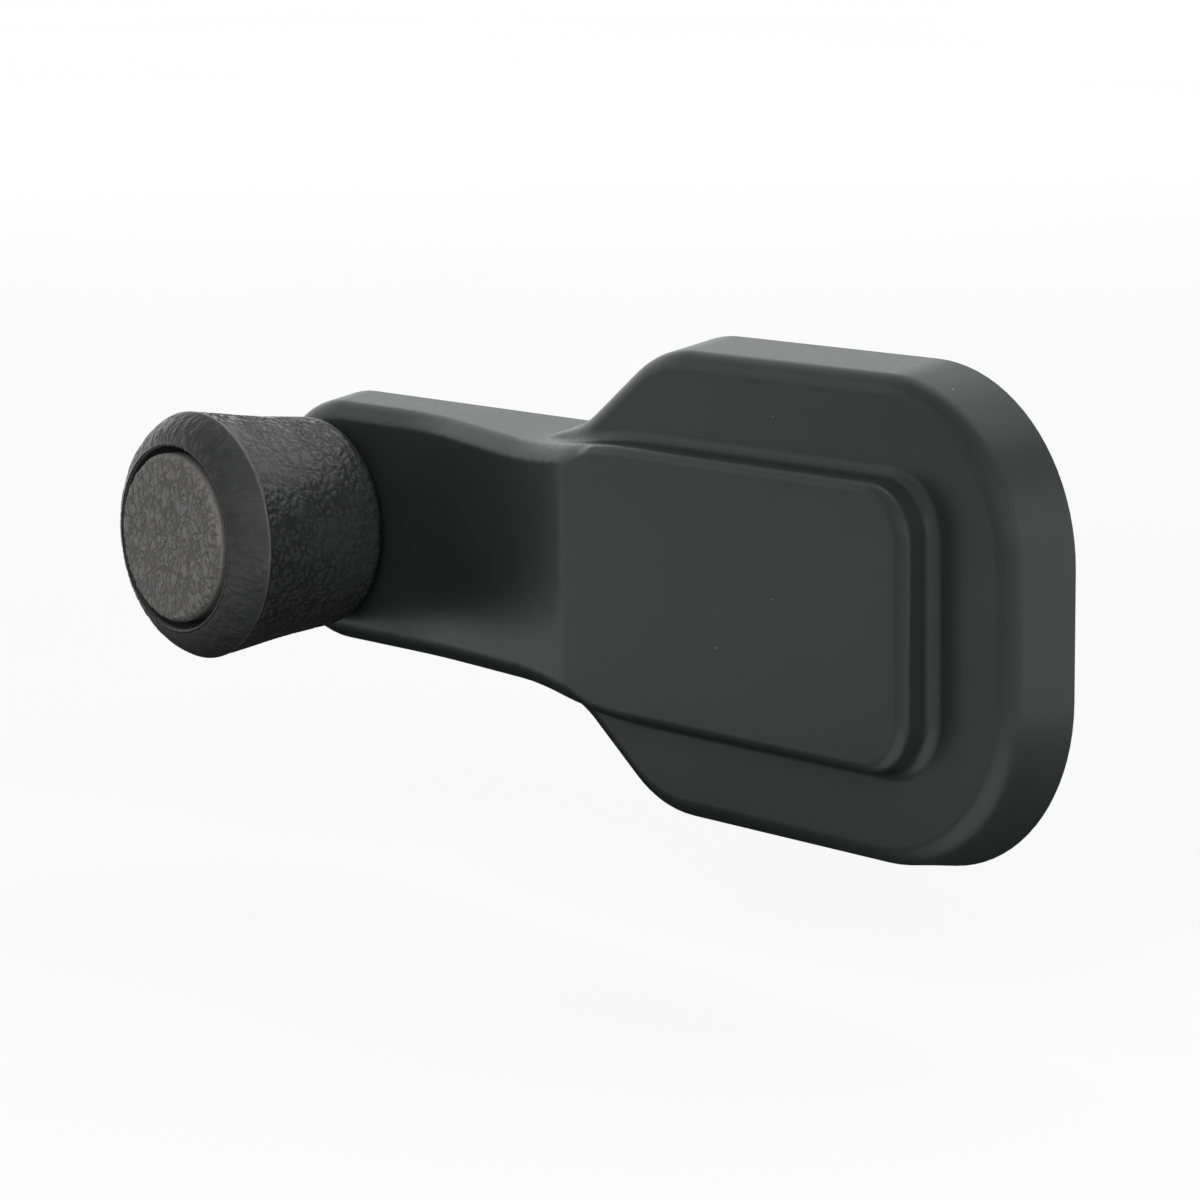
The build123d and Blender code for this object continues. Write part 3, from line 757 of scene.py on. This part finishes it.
def even_normals(mesh, crease_angle):
    """Corner normals averaged by area over the faces at a point that meet within the crease angle."""
    limit = cos(crease_angle)
    facing = [(face.normal.copy(), face.area) for face in mesh.polygons]
    around = [[] for vertex in mesh.vertices]
    for face in mesh.polygons:
        for point in face.vertices:
            around[point].append(facing[face.index])
    normals = [Vector() for corner in mesh.loops]
    for face in mesh.polygons:
        own = facing[face.index][0]
        for corner, point in zip(face.loop_indices, face.vertices):
            for normal, area in around[point]:
                if normal.dot(own) > limit:
                    normals[corner] += normal * area
            normals[corner].normalize()
    mesh.normals_split_custom_set(normals)


def smooth_copy(node, name, crease_angle, finish):
    """Merged copy of a solid with smooth shading over its rounds and sharp lines at its edges."""
    shape = bmesh.new()
    shape.from_mesh(frame["nodes"][node].data)
    bmesh.ops.remove_doubles(shape, verts=shape.verts, dist=MERGE_DISTANCE)
    mesh = bpy.data.meshes.new(name)
    shape.to_mesh(mesh)
    shape.free()
    mesh.materials.clear()
    mesh.materials.append(finish)
    mesh.shade_smooth()
    even_normals(mesh, crease_angle)
    piece = bpy.data.objects.new(name, mesh)
    bpy.context.scene.collection.objects.link(piece)
    return piece


def dress(piece, body, node):
    """Puts a finished piece on its body in place of its solid."""
    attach(piece, body)
    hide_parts(node)


def coat_node(node, finish):
    """Gives a solid that stays as it is its finish."""
    mesh = frame["nodes"][node].data
    mesh.materials.clear()
    mesh.materials.append(finish)


# Stage

def distance_on_floor(tree, place, centre, stretch=1.0):
    """Distance from a place on the floor, measured shorter along X by the stretch."""
    shift = add_node(tree, "ShaderNodeMapping")
    shift.inputs["Location"].default_value = (-centre[0] / stretch, -centre[1], 0.0)
    shift.inputs["Scale"].default_value = (1.0 / stretch, 1.0, 0.0)
    link(tree, place, shift.inputs["Vector"])
    reach = add_node(tree, "ShaderNodeVectorMath", operation="LENGTH")
    link(tree, shift.outputs["Vector"], reach.inputs[0])
    return reach.outputs["Value"]


def mirrored_floor(tree, place):
    """Level of the floor as the handle mirrors it: a painted shadow close behind, and a glowing patch, no
    lamp, that paints a highlight.
    """
    away = distance_on_floor(tree, place, DARK_CENTRE, DARK_STRETCH)
    pale = spread(tree, away, 0.0, 1.0, DARK_RADIUS, PALE_RADIUS, smooth=True)
    back = reach_along(tree, place, ROOM_DEPTH_WAY)
    depth = spread(tree, back, PALE_FRONT, PALE_BACK, PALE_FRONT_REACH, PALE_BACK_REACH)
    near_glow_patch = distance_on_floor(tree, place, GLOW_PATCH_CENTRE)
    # glowing patch seen only in reflections: a painted highlight on the handle's lower edges
    glow_patch = spread(tree, near_glow_patch, GLOW_PATCH_LEVEL, 0.0, GLOW_PATCH_RADIUS, GLOW_PATCH_FADE_RADIUS, smooth=True)
    return combine(tree, "MAXIMUM", combine(tree, "MULTIPLY", pale, depth), glow_patch)


def pale_floor_finish():
    """Floor that photographs white with a faint shadow, and is mirrored dimly close to the handle."""
    finish = bpy.data.materials.new("pale_floor")
    tree = empty_tree(finish)
    output = add_node(tree, "ShaderNodeOutputMaterial")
    place = add_node(tree, "ShaderNodeTexCoord").outputs["Object"]
    path = add_node(tree, "ShaderNodeLightPath").outputs
    matt = add_node(tree, "ShaderNodeBsdfDiffuse")
    clouds = noise(tree, place, FLOOR_CLOUD_SIZE)
    shade = blend_colours(tree, clouds, FLOOR_SHADE_LOW, FLOOR_SHADE_HIGH)
    share = spread(tree, path["Is Camera Ray"], FLOOR_UNSEEN_SHARE, 1.0, 0.0, 1.0)
    link(tree, combine_vectors(tree, "SCALE", shade, share), matt.inputs["Color"])
    glow = add_node(tree, "ShaderNodeEmission", {"Color": WHITE})
    away = distance_on_floor(tree, place, (0.0, 0.0))
    lift = spread(tree, away, FLOOR_NEAR_LIFT, FLOOR_FAR_LIFT, FLOOR_NEAR, FLOOR_FAR)
    seen = combine(tree, "MULTIPLY", path["Is Camera Ray"], lift)
    bounced = combine(tree, "MAXIMUM", path["Is Glossy Ray"], path["Is Transmission Ray"])
    mirrored = combine(tree, "MULTIPLY", bounced, mirrored_floor(tree, place))
    link(tree, combine(tree, "ADD", seen, mirrored), glow.inputs["Strength"])
    both = add_node(tree, "ShaderNodeAddShader")
    link(tree, matt.outputs["BSDF"], both.inputs[0])
    link(tree, glow.outputs["Emission"], both.inputs[1])
    link(tree, both.outputs["Shader"], output.inputs["Surface"])
    return finish


def lay_floor():
    """Large plain floor a little below the handle."""
    bpy.ops.mesh.primitive_plane_add(size=FLOOR_SIZE, location=(0.0, 0.0, 0.0))
    floor = bpy.context.object
    floor.name = "floor"
    floor.data.transform(Matrix.Translation((0.0, 0.0, CAD_BOX[0][2] - FLOOR_DROP)))
    floor.data.materials.append(pale_floor_finish())


def white_surroundings():
    """White backdrop for the camera; its light dims towards the camera's side and overhead."""
    world = bpy.data.worlds.new("white_room")
    bpy.context.scene.world = world
    tree = empty_tree(world)
    output = add_node(tree, "ShaderNodeOutputWorld")
    room = add_node(tree, "ShaderNodeBackground", {"Color": WHITE})
    way = add_node(tree, "ShaderNodeTexCoord").outputs["Generated"]
    depth = reach_along(tree, way, ROOM_DEPTH_WAY)
    level = spread(tree, depth, ROOM_FRONT, ROOM_BACK, ROOM_FRONT_REACH, ROOM_BACK_REACH)
    parts = add_node(tree, "ShaderNodeSeparateXYZ")
    link(tree, way, parts.inputs["Vector"])
    overhead = spread(tree, parts.outputs["Z"], 1.0, ROOM_OVERHEAD_SHARE, ROOM_LOW, ROOM_HIGH, smooth=True)
    level = combine(tree, "MULTIPLY", level, overhead)
    path = add_node(tree, "ShaderNodeLightPath").outputs
    shown = combine(tree, "MAXIMUM", level, path["Is Camera Ray"])
    link(tree, shown, room.inputs["Strength"])
    link(tree, room.outputs["Background"], output.inputs["Surface"])


def softbox(name, place, aim, size, power, glare=True):
    """Square soft light that points at a place; without glare it isn't mirrored in gloss."""
    lamp = bpy.data.lights.new(name, "AREA")
    lamp.shape = "SQUARE"
    lamp.size = size
    lamp.energy = power
    holder = bpy.data.objects.new(name, lamp)
    holder.location = place
    holder.rotation_euler = (Vector(aim) - Vector(place)).to_track_quat("-Z", "Y").to_euler()
    holder.visible_glossy = glare
    bpy.context.scene.collection.objects.link(holder)


def set_camera():
    """Camera at the photograph's place, aim and lens."""
    lens = bpy.data.cameras.new("photo_camera")
    lens.lens = CAMERA_LENS
    lens.sensor_width = CAMERA_SENSOR
    lens.clip_start = CAMERA_CLIP_START
    camera = bpy.data.objects.new("photo_camera", lens)
    look = (CAMERA_AIM - CAMERA_PLACE).to_track_quat("-Z", "Y").to_matrix()
    roll = Matrix.Rotation(CAMERA_ROLL, 3, "Z")
    camera.matrix_world = Matrix.Translation(CAMERA_PLACE) @ (look @ roll).to_4x4()
    bpy.context.scene.collection.objects.link(camera)
    bpy.context.scene.camera = camera


# Cover
cover = smooth_copy("crank_cover", "satin_crank_cover", COVER_CREASE_ANGLE, satin_cover_plastic())
dress(cover, "crank", "crank_cover")

# Knob
grain_tree = leather_grain_tree()
grip_finish = leather_grain_plastic("leather_grip_plastic", GRIP_VALLEY_SHADE, GRIP_RIDGE, GRIP_ROUGH)
cap_finish = leather_grain_plastic("leather_cap_plastic", CAP_VALLEY_SHADE, CAP_RIDGE, CAP_ROUGH)
dress(make_knob_grip(grain_tree, grip_finish), "knob", "knob_grip")
dress(make_knob_cap(grain_tree, cap_finish), "knob", "knob_cap")

# Steel and bearing pieces keep their solids
coat_node("crank_lever", dipped_steel())
coat_node("spline_hub", turned_steel("turned_hub_steel", 0.0))
coat_node("knob_spindle", turned_steel("turned_spindle_steel", -CRANK_RADIUS * MM))
zinc_finish = zinc_plate()
for fastener in ("fixing_screw", "spring_washer", "retainer_washer", "retaining_clip"):
    coat_node(fastener, zinc_finish)
nylon_finish = natural_nylon()
for bearing in ("thrust_washer", "knob_bush"):
    coat_node(bearing, nylon_finish)

# Stage, light and camera
lay_floor()
white_surroundings()
softbox("overhead_softbox", OVERHEAD_PLACE, LAMP_AIM, OVERHEAD_SIZE, OVERHEAD_POWER)
softbox("front_fill", FRONT_PLACE, LAMP_AIM, FRONT_SIZE, FRONT_POWER, glare=False)
softbox("right_fill", RIGHT_PLACE, RIGHT_AIM, RIGHT_SIZE, RIGHT_POWER, glare=False)
set_camera()
bpy.context.scene.view_settings.view_transform = "Standard"
